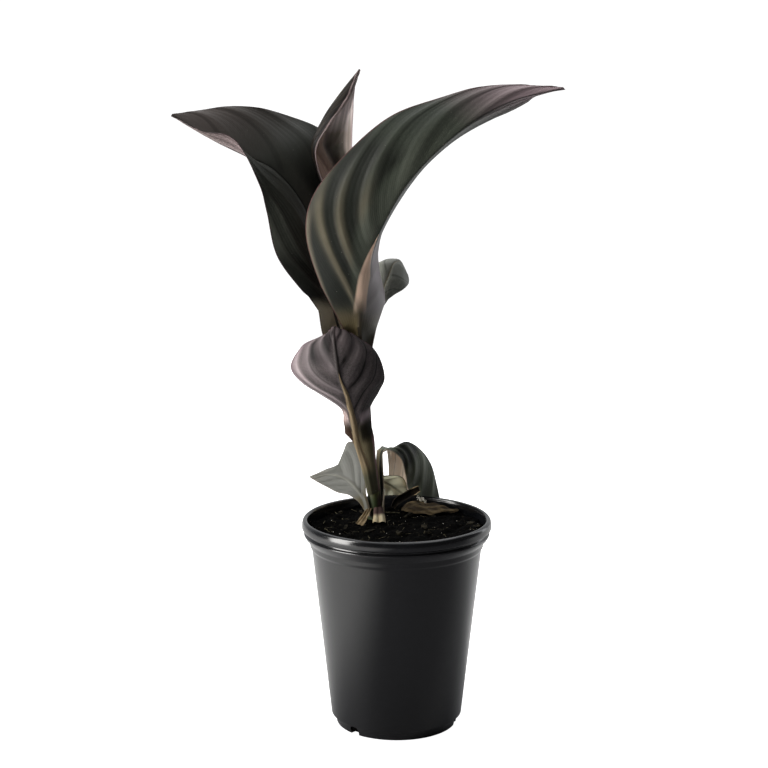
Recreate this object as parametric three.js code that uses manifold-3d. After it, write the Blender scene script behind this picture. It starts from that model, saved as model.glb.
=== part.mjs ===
// Potted canna lily: a dark-leaved young plant in a black nursery pot.
// Millimetres, +Z up. The origin is the centre of the pot's flat underside and -Y is the front.
import * as THREE from 'three';
import { mergeVertices } from 'three/addons/utils/BufferGeometryUtils.js';
import Module from 'manifold-3d';

const wasm = await Module();
wasm.setup();

// Driving sizes
const GAP = 0.3;
const POT_TOP_RADIUS = 85;
const POT_HEIGHT = 190;
const POT_WALL = 1.5;
const POT_FLOOR = 1.8;
const FOOT_RADIUS = 54.2;
const FOOT_STEP_Z = 8.8;
const WALL_LOW_RADIUS = 58.9;
const WALL_TOP_RADIUS = 76.1;
const WALL_TOP_Z = 163;
const NOTCH_WIDTH = 10;
const NOTCH_HEIGHT = 7.5;
const NOTCH_COUNT = 3;
const NOTCH_FIRST_ANGLE = 227 * Math.PI / 180;
const NOTCH_REACH = [46, 60];
const SOIL_LEVEL = 180;
const SOIL_RELIEF = 1.1;
const SOIL_RADIUS = 78.4;
const SOIL_RINGS = 10;
const SOIL_MOUND = { x: -20, y: 22, height: 2, spread: 30 };
const CHIP_COUNT = 24;
const CHIP_FIELD = 72;
const CHIP_LENGTH = [5, 12];
const CHIP_WIDTH = [2.5, 5];
const CHIP_THICKNESS = 2.4;
const CHIP_TILT = [0.7, 0.5];
const CHIP_RISE = 0.4;
const CHIP_FREE = { x: -22, y: 16, radius: 22 };
const STEM_BASE = { x: -20, y: 22, z: 168 };
const STEM_BASE_RADIUS = 6.4;
const SHEATH_EDGE = 0.25;
const LEAF_THICKNESS = 0.9;
const POT_SEGMENTS = 48;

const group = new THREE.Group();

const looks = {
  pot: { color: 0x1d1e20, roughness: 0.35 },
  soil: { color: 0x1e1813, roughness: 0.95 },
  stem: { color: 0x6b6a45, roughness: 0.5 },
  darkLeaf: { color: 0x2f3a2e, roughness: 0.45 },
  purpleLeaf: { color: 0x5a474c, roughness: 0.5 },
  greyLeaf: { color: 0x7b8378, roughness: 0.6 },
  dried: { color: 0x9c8560, roughness: 0.85 },
  deadLeaf: { color: 0x4f4030, roughness: 0.9 },
};

function addMesh(name, geometry, look) {
  geometry.computeVertexNormals();
  const material = new THREE.MeshStandardMaterial({ ...looks[look], metalness: 0 });
  const mesh = new THREE.Mesh(geometry, material);
  mesh.name = name;
  group.add(mesh);
}

// A small seeded generator, so that every build scatters the chips alike
function seeded(seed) {
  let state = seed;
  return () => {
    state = (state * 1664525 + 1013904223) % 4294967296;
    return state / 4294967296;
  };
}

// Solids for joining and cutting
function toSolid(geometry) {
  const bare = geometry.clone();
  bare.deleteAttribute('normal');
  bare.deleteAttribute('uv');
  const merged = mergeVertices(bare, 1e-4);
  const index = merged.index.array;
  const kept = [];
  for (let i = 0; i < index.length; i += 3) {
    const [a, b, c] = [index[i], index[i + 1], index[i + 2]];
    if (a !== b && b !== c && a !== c) kept.push(a, b, c);
  }
  const vertProperties = new Float32Array(merged.attributes.position.array);
  return new wasm.Manifold(new wasm.Mesh({ numProp: 3, vertProperties, triVerts: new Uint32Array(kept) }));
}

function toGeometry(solid) {
  const mesh = solid.getMesh();
  const geometry = new THREE.BufferGeometry();
  geometry.setAttribute('position', new THREE.BufferAttribute(mesh.vertProperties, 3));
  geometry.setIndex(new THREE.BufferAttribute(mesh.triVerts, 1));
  return geometry;
}

function curveThrough(points) {
  return new THREE.CatmullRomCurve3(points.map((p) => new THREE.Vector3(...p)), false, 'catmullrom', 0.5);
}

// Pot: one moulding with a sloped lip, a slit under it, a stacking bead and a stepped foot
const potInside = [
  [52.8, POT_FLOOR], [54, FOOT_STEP_Z - 2.4], [WALL_LOW_RADIUS - POT_WALL, FOOT_STEP_Z + 1.6],
  [WALL_TOP_RADIUS - POT_WALL, WALL_TOP_Z], [78.8, 176],
];
const potProfile = [
  [0, 0], [FOOT_RADIUS, 0], [56, FOOT_STEP_Z - 0.6], [WALL_LOW_RADIUS, FOOT_STEP_Z],
  [WALL_TOP_RADIUS, WALL_TOP_Z], [77.6, 165], [78.2, 169.5], [81.8, 173.5], [83.6, 176.8], [81.4, 178.4],
  [81.4, 180], [84.8, 181.2], [POT_TOP_RADIUS, 184.8], [84.2, 188.6], [82.4, POT_HEIGHT],
  [80.6, POT_HEIGHT - 0.4], [79.6, 187.5], ...potInside.toReversed(), [0, POT_FLOOR],
];
const potGeometry = new THREE.LatheGeometry(potProfile.map((p) => new THREE.Vector2(...p)), POT_SEGMENTS);
potGeometry.rotateX(Math.PI / 2);
let pot = toSolid(potGeometry);

// Drainage notches: round-topped openings through the foot at the edge of the floor
const notchShape = new THREE.Shape();
notchShape.moveTo(-NOTCH_WIDTH / 2, -1);
notchShape.lineTo(NOTCH_WIDTH / 2, -1);
notchShape.lineTo(NOTCH_WIDTH / 2, NOTCH_HEIGHT / 2);
notchShape.absellipse(0, NOTCH_HEIGHT / 2, NOTCH_WIDTH / 2, NOTCH_HEIGHT / 2, 0, Math.PI);
for (let i = 0; i < NOTCH_COUNT; i++) {
  const depth = NOTCH_REACH[1] - NOTCH_REACH[0];
  const notch = new THREE.ExtrudeGeometry(notchShape, { depth, bevelEnabled: false, curveSegments: 6 });
  notch.rotateX(Math.PI / 2);
  notch.translate(0, -NOTCH_REACH[0], 0);
  notch.rotateZ(NOTCH_FIRST_ANGLE + Math.PI / 2 + i * 2 * Math.PI / NOTCH_COUNT);
  pot = pot.subtract(toSolid(notch));
}
addMesh('pot', toGeometry(pot), 'pot');

// Pseudostem: rolled sheaths that lean a little and taper up into the spear
const stemAxis = curveThrough([
  [STEM_BASE.x, STEM_BASE.y, STEM_BASE.z + GAP], [-20.3, 22, 195.5], [-22, 21.5, 228.5], [-27, 21, 258],
  [-30.5, 21, 288.5], [-29.5, 22, 320], [-28, 24, 351.5], [-30.5, 27, 382.5], [-34.5, 26, 417],
]);
const stemRadii = curveThrough([STEM_BASE_RADIUS, 6, 4.3, 4.6, 5, 4.8, 4.2, 3.2, 1.6].map((r) => [r, 0, 0]));

function stemGeometry(extra) {
  const base = new THREE.CylinderGeometry(1, 1, 1, 12, 26);
  base.rotateX(Math.PI / 2);
  const position = base.attributes.position;
  for (let i = 0; i < position.count; i++) {
    const along = position.getZ(i) + 0.5;
    const centre = stemAxis.getPoint(along);
    const angle = Math.atan2(position.getY(i), position.getX(i));
    const sheathEdge = SHEATH_EDGE * Math.cos(3 * angle + 9 * along);
    const radius = stemRadii.getPoint(along).x + sheathEdge + extra;
    const onRim = Math.hypot(position.getX(i), position.getY(i));
    const lift = (along > 0.999 ? extra : 0) - (along < 0.001 ? extra : 0);
    position.setXYZ(i, centre.x + onRim * radius * Math.cos(angle),
      centre.y + onRim * radius * Math.sin(angle), centre.z + lift);
  }
  return base;
}
addMesh('pseudostem', toGeometry(toSolid(stemGeometry(0))), 'stem');
const stemClearance = toSolid(stemGeometry(GAP));

// Leaves: a midrib and two margins, each a smooth curve from the sheath to the tip, with the two
// halves bowed between them. Rows of the mesh follow the side veins, and every other row is raised
// as a pleat, so the relief runs from the midrib forward to the margin as on the real blade.
const VEIN_CROWDING = 1.6;
const VEIN_EASE = 0.25;
const VEIN_BEND = 1.9;
const LEAST_BEND = 0.6;
const PLEAT_FADE = 0.45;
const PLEAT_RISE = 6;
const WAVE_RISE = 2.5;
const WAVE_SHIFT = 1.3;

function leafSurface(leaf) {
  const rib = curveThrough(leaf.rib);
  const left = curveThrough(leaf.left);
  const right = curveThrough(leaf.right);
  const bows = curveThrough(leaf.rib.map((_, k) => [leaf.bowLeft[k], leaf.bowRight[k], 0]));
  return (row, across) => {
    const onRow = Math.min(Math.max((row - leaf.bladeStart) / (1 - leaf.bladeStart), 0), 1);
    const onBlade = onRow ** VEIN_CROWDING;
    const along = Math.min(row, leaf.bladeStart) + (1 - leaf.bladeStart) * onBlade;
    const out = Math.abs(across);
    const slant = out ** Math.max(VEIN_BEND * (1 - onBlade), LEAST_BEND);
    const forward = (1 - leaf.bladeStart) * leaf.sweep * slant * onBlade ** VEIN_EASE * (1 - onBlade);
    const at = Math.min(along + forward, 1);
    const middle = rib.getPoint(at);
    const ahead = rib.getPoint(Math.min(at + 0.001, 1)).sub(rib.getPoint(Math.max(at - 0.001, 0)));
    const side = (across < 0 ? left : right).getPoint(at).sub(middle);
    const facing = new THREE.Vector3().crossVectors(side, ahead).normalize();
    if (across < 0) facing.negate();
    const bow = across < 0 ? bows.getPoint(at).x : bows.getPoint(at).y;
    const fade = Math.sqrt(Math.sin(Math.PI * onBlade)) * Math.min(out * PLEAT_RISE, 1) * (1 - PLEAT_FADE * out ** 2);
    const pleat = leaf.pleatDepth * fade * Math.cos(2 * Math.PI * leaf.pleats * row);
    const wave = leaf.wave * Math.sin(Math.PI * onBlade) * out ** WAVE_RISE
      * Math.sin(2 * Math.PI * leaf.waves * at + (across < 0 ? WAVE_SHIFT : 0));
    return middle.addScaledVector(side, out).addScaledVector(facing, bow * 4 * out * (1 - out) + pleat + wave);
  };
}

const fineHalf = [0.07, 0.24, 0.45, 0.66, 0.85, 1];
const plainHalf = [0.1, 0.38, 0.7, 1];

function leafGeometry(leaf) {
  const surface = leafSurface(leaf);
  const steps = leaf.fine ? fineHalf : plainHalf;
  const columns = [...steps.map((s) => -s).reverse(), 0, ...steps];
  const rows = leaf.rows;
  const grid = [];
  for (let i = 0; i <= rows; i++) {
    grid.push(columns.map((across) => surface(i / rows, across)));
  }
  const last = columns.length - 1;
  const faces = [[], []];
  for (let i = 0; i <= rows; i++) {
    for (let j = 0; j <= last; j++) {
      const up = new THREE.Vector3().subVectors(grid[Math.min(i + 1, rows)][j], grid[Math.max(i - 1, 0)][j]);
      const over = new THREE.Vector3().subVectors(grid[i][Math.min(j + 1, last)], grid[i][Math.max(j - 1, 0)]);
      const facing = over.cross(up).normalize();
      const ribDepth = leaf.ribDepth * (1 - i / rows) * Math.exp(-((columns[j] * leaf.ribSharp) ** 2));
      faces[0].push(grid[i][j].clone().addScaledVector(facing, LEAF_THICKNESS / 2));
      faces[1].push(grid[i][j].clone().addScaledVector(facing, -LEAF_THICKNESS / 2 - ribDepth));
    }
  }
  const width = columns.length;
  const count = faces[0].length;
  const index = [];
  for (let i = 0; i < rows; i++) {
    for (let j = 0; j < last; j++) {
      const a = i * width + j;
      const [b, c, d] = [a + 1, a + width, a + width + 1];
      index.push(a, b, d, a, d, c);
      index.push(count + a, count + d, count + b, count + a, count + c, count + d);
    }
  }
  const wall = (a, b) => index.push(a, count + a, count + b, a, count + b, b);
  for (let i = 0; i < rows; i++) {
    wall((i + 1) * width, i * width);
    wall(i * width + last, (i + 1) * width + last);
  }
  for (let j = 0; j < last; j++) {
    wall(j, j + 1);
    wall(rows * width + j + 1, rows * width + j);
  }
  const points = [...faces[0], ...faces[1]];
  const geometry = new THREE.BufferGeometry();
  geometry.setAttribute('position', new THREE.Float32BufferAttribute(points.flatMap((p) => p.toArray()), 3));
  geometry.setIndex(index);
  return geometry;
}

const leafDefaults = { pleats: 8, pleatDepth: 0.6, wave: 0, waves: 6, sweep: 0.85, ribDepth: 0.9, ribSharp: 7 };
const leaves = {
  leaf_large_right: {
    look: 'darkLeaf', rows: 44, fine: true, bladeStart: 0.2, pleats: 7, pleatDepth: 0.9, wave: 1.2, sweep: 1,
    rib: [[-28, 15, 308], [-32, 10, 345], [-33, 4, 370], [-28, -3, 405], [-21, -8, 432], [-10, -11, 456],
      [8, -12, 487], [33, -8, 515], [65, 2, 541], [102, 16, 559], [146, 32, 569]],
    left: [[-34, 18, 307], [-42, 14, 344], [-48, 6, 361], [-66.5, -3, 399.5], [-79, -7.5, 444], [-73, -5, 478],
      [-46, 1, 512.5], [-6.5, 8, 545.5], [39.5, 15, 562.5], [92, 25, 573], [145, 33, 570]],
    right: [[-22, 18, 307], [-21.5, 19, 343.5], [-18, 25, 359.5], [-10.5, 42, 380.5], [-19, 51, 419],
      [-12, 54, 448], [22, 51, 498.5], [62.5, 46.5, 535], [102, 41, 549.5], [123, 36, 564], [147, 33, 568]],
    bowLeft: [-1.5, -2, -1, 2, 4, 5, 5, 4, 3, 2, 0], bowRight: [-1.5, -2, 2, 4, 3, 1, 1, 1, 1, 1, 0],
  },
  leaf_large_left: {
    look: 'darkLeaf', rows: 44, fine: true, bladeStart: 0.28, pleats: 8, pleatDepth: 0.9, wave: 1, sweep: 0.95,
    rib: [[-36, 21, 282], [-42, 20, 314], [-47, 21, 343], [-55, 22, 370], [-60, 22, 397], [-68, 20, 427],
      [-82, 14, 468], [-105, 8, 498], [-130, 0, 512], [-159, -8, 527], [-193, -14, 548]],
    left: [[-33, 14, 285], [-49, 13, 320], [-65, 12, 351], [-71, 9, 381], [-84, 3, 395], [-105, -2, 426],
      [-113, -8, 465], [-119, -15, 490], [-137, -20, 526], [-165, -20, 535], [-193, -15, 547]],
    right: [[-32, 28, 286], [-33, 30, 322], [-37, 34, 359], [-40, 40, 385], [-41, 50, 414], [-41, 58, 446],
      [-42, 60, 487], [-58, 56, 524], [-96, 44, 545], [-141, 20, 554], [-192, -13, 549]],
    bowLeft: [-1.5, -2, -2, -1, 3, 5, 4, 1, -1, -1, 0], bowRight: [-1.5, -2, -3, -1, 2, 4, 4, 3, 2, 1, 0],
  },
  leaf_spear: {
    look: 'purpleLeaf', rows: 28, bladeStart: 0.3, pleatDepth: 0.5,
    rib: [[-30, 31, 377], [-37, 30, 420], [-43, 28, 450], [-51, 29, 476], [-63, 30, 500], [-73, 25, 521],
      [-64, 26, 544], [-50.5, 26, 564], [-33, 26, 586]],
    left: [[-34, 26, 377], [-46, 20, 421], [-52, 16, 451], [-59, 13, 477], [-68, 13, 498], [-70, 12, 519],
      [-57.5, 13, 541], [-43.5, 18, 561], [-34, 25, 585]],
    right: [[-25, 26, 377], [-30, 22, 421], [-35, 19, 450.5], [-38, 17, 480], [-39.5, 16, 503], [-39.5, 16, 520],
      [-38.5, 18, 547.5], [-37, 22, 569], [-32, 26, 585]],
    bowLeft: [-1.5, -4, -7, -7, -5, -3, -3, -2, 0], bowRight: [-1.5, -3, -4, -4, -4, -4, -3, -1, 0],
  },
  leaf_front_small: {
    look: 'purpleLeaf', rows: 28, fine: true, bladeStart: 0.3, sweep: 0.95, pleatDepth: 0.9, wave: 0.6,
    rib: [[-23, 16, 207.5], [-28, 14.5, 233], [-35, 12, 254.5], [-39, 4, 279], [-44, -4, 302], [-50, -9, 319],
      [-53, -10, 338], [-55, -6, 353], [-55, 0, 363]],
    left: [[-15.5, 19.5, 210], [-19, 19, 238.5], [-20.5, 16, 259.5], [-24.5, 12, 285], [-16, 10, 303],
      [-11, 8, 317], [-18, 6, 339], [-36, 4, 354], [-54, 1, 363]],
    right: [[-26.3, 19.5, 209.5], [-27, 17.5, 226.5], [-32, 15.5, 243], [-39.5, 13.5, 257], [-49.5, 11, 269.5],
      [-48, 9.5, 286], [-65.5, 4, 300], [-85, 7, 312], [-94, 9, 326], [-85, 10, 343], [-72.5, 6, 351],
      [-61.5, 2, 357], [-56.5, 1, 363]],
    bowLeft: [-2, -2.5, -3, -3, -3, -4, -3, -2, 0], bowRight: [-2, -2.5, -2, -2, -4, -5, -4, -2, 0],
  },
  leaf_back_small: {
    look: 'greyLeaf', rows: 18, bladeStart: 0.3, pleats: 5, pleatDepth: 0.3,
    rib: [[-24.3, 26.2, 342], [-20.5, 37, 363], [-15.5, 47, 381], [-8, 56, 399.5], [-3, 63, 411], [4, 70, 411],
      [10, 74, 398]],
    left: [[-27.5, 28.6, 341], [-24.5, 43, 367.5], [-21, 56, 387.5], [-21, 64, 403], [-17, 69, 411], [-1, 75, 413],
      [10, 75, 399]],
    right: [[-23.2, 22, 342], [-18, 33, 362], [-11, 43, 377], [-3.5, 50, 383.5], [5.5, 54, 388.5], [10.5, 64, 393],
      [10, 74, 397]],
    bowLeft: [-1.5, -2, -1, 2, 2, 1, 0], bowRight: [-1.5, -2, -1, 2, 2, 1, 0],
  },
  leaf_low_left: {
    look: 'greyLeaf', rows: 24, bladeStart: 0.22, pleats: 6, pleatDepth: 0.4,
    rib: [[-25.2, 17.2, 187], [-28.5, 18, 200.5], [-36, 21, 211], [-45, 26.5, 218], [-56, 31.5, 221],
      [-68.5, 36, 220], [-79.5, 39.5, 217.5]],
    left: [[-22.5, 15.4, 187], [-25.2, 15.5, 198.5], [-28.4, 18.2, 212], [-28.3, 21.8, 231], [-33.5, 30.5, 248.5],
      [-45, 35.5, 250.5], [-51, 33, 233], [-64.5, 36, 225.5], [-79.5, 39.5, 218]],
    right: [[-26.8, 19, 187], [-34, 18, 199], [-43.5, 21.5, 205], [-53.5, 26.5, 206], [-62.5, 31, 209.5],
      [-71, 35, 213], [-79.5, 39.5, 217]],
    bowLeft: [-1, -1, 0, -1, -1, -1, 0], bowRight: [-1, -1, 0, 0, 0, 0, 0],
  },
  leaf_low_right: {
    look: 'darkLeaf', rows: 32, bladeStart: 0.3, pleatDepth: 0.7,
    rib: [[-13, 22, 187], [-15, 25, 214], [-16, 30, 233], [-13, 36, 243], [-3.5, 48, 243.5], [9.5, 60, 246],
      [22.5, 76, 234.5], [32, 88, 218], [37, 97, 199], [44, 101, 165]],
    left: [[-15, 28, 187], [-18, 30, 214], [-19, 35, 232], [-17, 42, 245], [-10, 62, 239], [-8, 86, 219],
      [-7, 106, 199], [1, 117, 184], [28, 118, 178], [45, 102, 165]],
    right: [[-13, 17, 187], [-12, 21, 216], [-13, 25, 235], [-12, 33, 244], [-4, 42, 241], [4, 52, 231],
      [8, 66, 214], [11, 86, 193], [22, 91, 178], [43, 100, 165]],
    bowLeft: [-1, -1.5, -1.5, -1, 0, 1, 3, 4, 3, 0], bowRight: [-1, -1.5, -1.5, 0, 1, 2, 5, 5, 3, 0],
  },
  leaf_low_back: {
    look: 'greyLeaf', rows: 16, bladeStart: 0.25, pleats: 5, pleatDepth: 0.4,
    rib: [[-17, 30, 185], [-17, 50, 191], [-17, 70, 198], [-15, 84, 202], [-9, 89.5, 199], [0, 91, 193],
      [9, 92, 186]],
    left: [[-21, 29, 185], [-22, 50, 192], [-22, 70, 199], [-18, 85, 206], [-6, 90, 207], [6, 91.5, 204],
      [11, 92, 188]],
    right: [[-13, 29, 185], [-12, 50, 191], [-11, 69, 196.5], [-12, 83, 196], [-13, 88.5, 187], [-6, 89, 181],
      [8, 91.5, 184]],
    bowLeft: [-1.5, -1.5, -1, 0, 1, 1, 0], bowRight: [-1.5, -1.5, -1, 0, 1, 1, 0],
  },
};
for (const [name, shape] of Object.entries(leaves)) {
  const leaf = { ...leafDefaults, ...shape };
  const solid = toSolid(leafGeometry(leaf)).subtract(stemClearance);
  addMesh(name, toGeometry(solid), leaf.look);
}

// Soil: fills the pot, uneven on top, higher round the stem, with bark chips pressed into it
const soilDraw = seeded(7);
const ripples = [];
for (let k = 0; k < 9; k++) {
  const heading = soilDraw() * 2 * Math.PI;
  const length = 9 + 16 * soilDraw();
  ripples.push({ x: Math.cos(heading) / length, y: Math.sin(heading) / length, phase: soilDraw() * 2 * Math.PI });
}
function soilHeight(x, y) {
  let height = 0;
  for (const r of ripples) height += Math.sin(2 * Math.PI * (r.x * x + r.y * y) + r.phase);
  const fromMound = Math.hypot(x - SOIL_MOUND.x, y - SOIL_MOUND.y) / SOIL_MOUND.spread;
  return SOIL_LEVEL + SOIL_RELIEF * height / 3 + SOIL_MOUND.height * Math.exp(-(fromMound ** 2));
}
function soilGeometry() {
  const bottom = POT_FLOOR + GAP;
  const profile = [[0, bottom], ...potInside.map(([r, z]) => [r - 1.4 * GAP, Math.max(z, bottom)])];
  for (let k = 0; k <= SOIL_RINGS; k++) profile.push([SOIL_RADIUS * (1 - k / SOIL_RINGS), SOIL_LEVEL]);
  const base = new THREE.LatheGeometry(profile.map((p) => new THREE.Vector2(...p)), POT_SEGMENTS);
  base.rotateX(Math.PI / 2);
  const position = base.attributes.position;
  for (let i = 0; i < position.count; i++) {
    if (position.getZ(i) > SOIL_LEVEL - 1) {
      position.setZ(i, soilHeight(position.getX(i), position.getY(i)));
    }
  }
  return base;
}
let soil = toSolid(soilGeometry());
const drawBetween = ([low, high]) => low + (high - low) * soilDraw();
for (let k = 0; k < CHIP_COUNT; k++) {
  const angle = soilDraw() * 2 * Math.PI;
  const distance = CHIP_FIELD * Math.sqrt(soilDraw());
  const [x, y] = [distance * Math.cos(angle), distance * Math.sin(angle)];
  const chip = new THREE.BoxGeometry(drawBetween(CHIP_LENGTH), drawBetween(CHIP_WIDTH), CHIP_THICKNESS);
  chip.rotateX((soilDraw() - 0.5) * CHIP_TILT[0]);
  chip.rotateY((soilDraw() - 0.5) * CHIP_TILT[1]);
  chip.rotateZ(soilDraw() * Math.PI);
  chip.translate(x, y, soilHeight(x, y) + CHIP_RISE);
  if (Math.hypot(x - CHIP_FREE.x, y - CHIP_FREE.y) > CHIP_FREE.radius) soil = soil.add(toSolid(chip));
}
const holeRadius = STEM_BASE_RADIUS + SHEATH_EDGE + GAP;
const holeDepth = 30;
const stemHole = new THREE.CylinderGeometry(holeRadius, holeRadius, holeDepth, 20);
stemHole.rotateX(Math.PI / 2);
stemHole.translate(STEM_BASE.x - 0.2, STEM_BASE.y, STEM_BASE.z + holeDepth / 2);
soil = soil.subtract(toSolid(stemHole));

// What lies on the soil or stands in it keeps a hair of room to it
let soilRoom = soil.translate([0, 0, GAP]);
for (const [x, y] of [[GAP, 0], [-GAP, 0], [0, GAP], [0, -GAP]]) soilRoom = soilRoom.add(soil.translate([x, y, 0]));

// Dried stubs: the cut bases of two old sheaths, curled into half tubes at the foot of the stem
const stubDefaults = { rows: 8, pleats: 2, pleatDepth: 0.25, bladeStart: 0.05, waves: 2, wave: 0.3, sweep: 0 };
const stubs = {
  dried_sheath_left: {
    rib: [[-24.8, 13.8, 195], [-29, 8.5, 188.5], [-33.5, 4.5, 182.6]],
    left: [[-22.5, 13.8, 195], [-26.5, 6.5, 188], [-30.5, 0.5, 181.6]],
    right: [[-27, 14, 194.5], [-32, 9.5, 188.5], [-37, 7, 182.6]],
    bowLeft: [-1.2, -1.6, -1.2], bowRight: [-1.2, -2, -1.6],
  },
  dried_sheath_right: {
    rib: [[-17, 14.5, 195], [-16.5, 9, 189], [-16, 4, 184]],
    left: [[-20.5, 14, 195], [-21, 11, 188], [-21.5, 6.5, 183]],
    right: [[-13.5, 18, 195], [-11, 13, 188], [-10, 7, 183]],
    bowLeft: [-1, -2, -2.2], bowRight: [-1, -2, -2.2],
  },
};
for (const [name, shape] of Object.entries(stubs)) {
  const solid = toSolid(leafGeometry({ ...leafDefaults, ...stubDefaults, ...shape, ribDepth: 0.2 }));
  addMesh(name, toGeometry(solid.subtract(stemClearance).subtract(soilRoom)), 'dried');
}

// Dead leaf: one crumpled blade on the soil, and a dried curl of another beside it
const deadLeaf = {
  ...leafDefaults, rows: 18, pleats: 4, pleatDepth: 1, bladeStart: 0.02, wave: 1.4, waves: 3, sweep: 0.6,
  rib: [[4, 50, 184], [14, 52, 187], [27, 52, 187], [41, 50, 185], [57, 50, 184]],
  left: [[5, 53, 185], [12, 64, 188], [26, 66, 187.5], [42, 57, 185.5], [57, 51.5, 184]],
  right: [[6, 47, 184], [15, 41, 183], [28, 38, 183], [42, 44, 183], [57, 48.5, 184]],
  bowLeft: [0, 1, -1, 1, 0], bowRight: [0, 1.5, 1, 1, 0], ribDepth: 0.3,
};
addMesh('dead_leaf', toGeometry(toSolid(leafGeometry(deadLeaf)).subtract(soilRoom)), 'deadLeaf');

const curlPath = curveThrough([[-4, 71, 180], [0, 71, 187], [8, 70.5, 192.5], [15, 70, 197], [20.5, 69, 200]]);
const curlShape = new THREE.Shape();
curlShape.absellipse(0, 0, 3, 2, 0, 2 * Math.PI);
const curlGeometry = new THREE.ExtrudeGeometry(curlShape, { steps: 10, curveSegments: 5, extrudePath: curlPath });
addMesh('dried_curl', toGeometry(toSolid(curlGeometry).subtract(soilRoom)), 'dried');

addMesh('soil', toGeometry(soil), 'soil');

export default group;
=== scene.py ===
import math
import random

import bmesh
import bpy
import numpy as np
from mathutils import Euler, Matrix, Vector, noise


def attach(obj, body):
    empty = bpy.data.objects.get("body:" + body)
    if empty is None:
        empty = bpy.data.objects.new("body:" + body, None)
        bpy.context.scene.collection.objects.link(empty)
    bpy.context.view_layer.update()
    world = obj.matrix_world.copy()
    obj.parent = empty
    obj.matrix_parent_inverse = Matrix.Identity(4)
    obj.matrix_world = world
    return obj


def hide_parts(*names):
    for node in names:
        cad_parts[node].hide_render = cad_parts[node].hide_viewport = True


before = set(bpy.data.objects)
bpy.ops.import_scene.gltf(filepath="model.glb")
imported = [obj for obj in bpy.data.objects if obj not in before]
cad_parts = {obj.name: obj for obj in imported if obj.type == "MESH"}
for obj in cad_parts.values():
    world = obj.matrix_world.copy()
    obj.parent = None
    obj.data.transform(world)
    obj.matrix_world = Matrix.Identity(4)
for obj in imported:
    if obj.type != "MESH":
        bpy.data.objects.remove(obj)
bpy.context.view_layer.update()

# Camera: a long lens well back and level with the upper leaves, tipped a little down so that the
# top of the soil shows. Its place and lens were fitted to the rings of the pot's lip and foot.
camera = bpy.data.objects.new("camera", bpy.data.cameras.new("camera"))
bpy.context.collection.objects.link(camera)
camera.data.sensor_width = 36
camera.data.lens = 88.3
camera.location = (0.0029, -1.636, 0.625)
camera.rotation_euler = (math.radians(79.16), 0, math.radians(0.5))
bpy.context.scene.camera = camera


# Studio: a pale floor with painted shade on its front and right, which shows only in reflections, a
# wide soft light on the left and a little behind, a weaker one on the right, one over the floor
# behind, and bright surroundings behind the plant that fade towards the viewer
def add_node(tree, kind, sockets=None, **settings):
    """A shader node. A socket is given a value or linked to another node's output."""
    new = tree.nodes.new("ShaderNode" + kind)
    for name, value in settings.items():
        setattr(new, name, value)
    for name, value in (sockets or {}).items():
        if isinstance(value, bpy.types.NodeSocket):
            tree.links.new(value, new.inputs[name])
        else:
            new.inputs[name].default_value = value
    return new


def tree_of(*values):
    """The node tree that the linked ones of these values belong to"""
    return next(value.id_data for value in values if isinstance(value, bpy.types.NodeSocket))


def maths(operation, *values):
    sockets = dict(enumerate(values))
    return add_node(tree_of(*values), "Math", sockets, operation=operation).outputs[0]


def times(first, *others):
    for other in others:
        first = maths("MULTIPLY", first, other)
    return first


def smooth_step(value, low, high):
    sockets = {"Value": value, "From Min": low, "From Max": high}
    return add_node(tree_of(value), "MapRange", sockets, interpolation_type="SMOOTHSTEP").outputs[0]


def as_light(colour):
    """Light values of a colour given in three parts from 0 to 255. Others stay as is."""
    if not isinstance(colour, tuple) or len(colour) != 3:
        return colour
    lit = [((c / 255 + 0.055) / 1.055) ** 2.4 if c > 10 else c / 255 / 12.92 for c in colour]
    return (*lit, 1)


def mix_colours(share, first, second):
    sockets = {0: share, 6: as_light(first), 7: as_light(second)}
    return add_node(tree_of(share, first, second), "Mix", sockets, data_type="RGBA").outputs[2]


def object_place(tree):
    return add_node(tree, "TexCoord").outputs["Object"]


def mottle(place, scale, detail=2.0):
    sockets = {"Vector": place, "Scale": scale, "Detail": detail}
    return add_node(tree_of(place), "TexNoise", sockets).outputs[0]


def split(vector):
    return add_node(tree_of(vector), "SeparateXYZ", {0: vector}).outputs


def new_finish(name, **values):
    """A material and its main shader, with the values that are the same all over the surface"""
    material = bpy.data.materials.new(name)
    material.use_nodes = True
    tree = material.node_tree
    shader = tree.nodes["Principled BSDF"]
    for socket, value in values.items():
        shader.inputs[socket.replace("_", " ")].default_value = value
    return material, tree, shader


def feed(tree, shader, colour, roughness=None, height=None, depth=0.001):
    """Links what changes over the surface. Height is in units of depth, in metres."""
    tree.links.new(colour, shader.inputs["Base Color"])
    if roughness is not None:
        tree.links.new(roughness, shader.inputs["Roughness"])
    if height is not None:
        bump = add_node(tree, "Bump", {"Height": height, "Distance": depth, "Strength": 1.0})
        tree.links.new(bump.outputs[0], shader.inputs["Normal"])


def fresh(name, add, **settings):
    """A new piece from one of the plain forms, with all else deselected"""
    bpy.ops.object.select_all(action="DESELECT")
    add(**settings)
    made = bpy.context.object
    made.name = name
    return made


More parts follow.
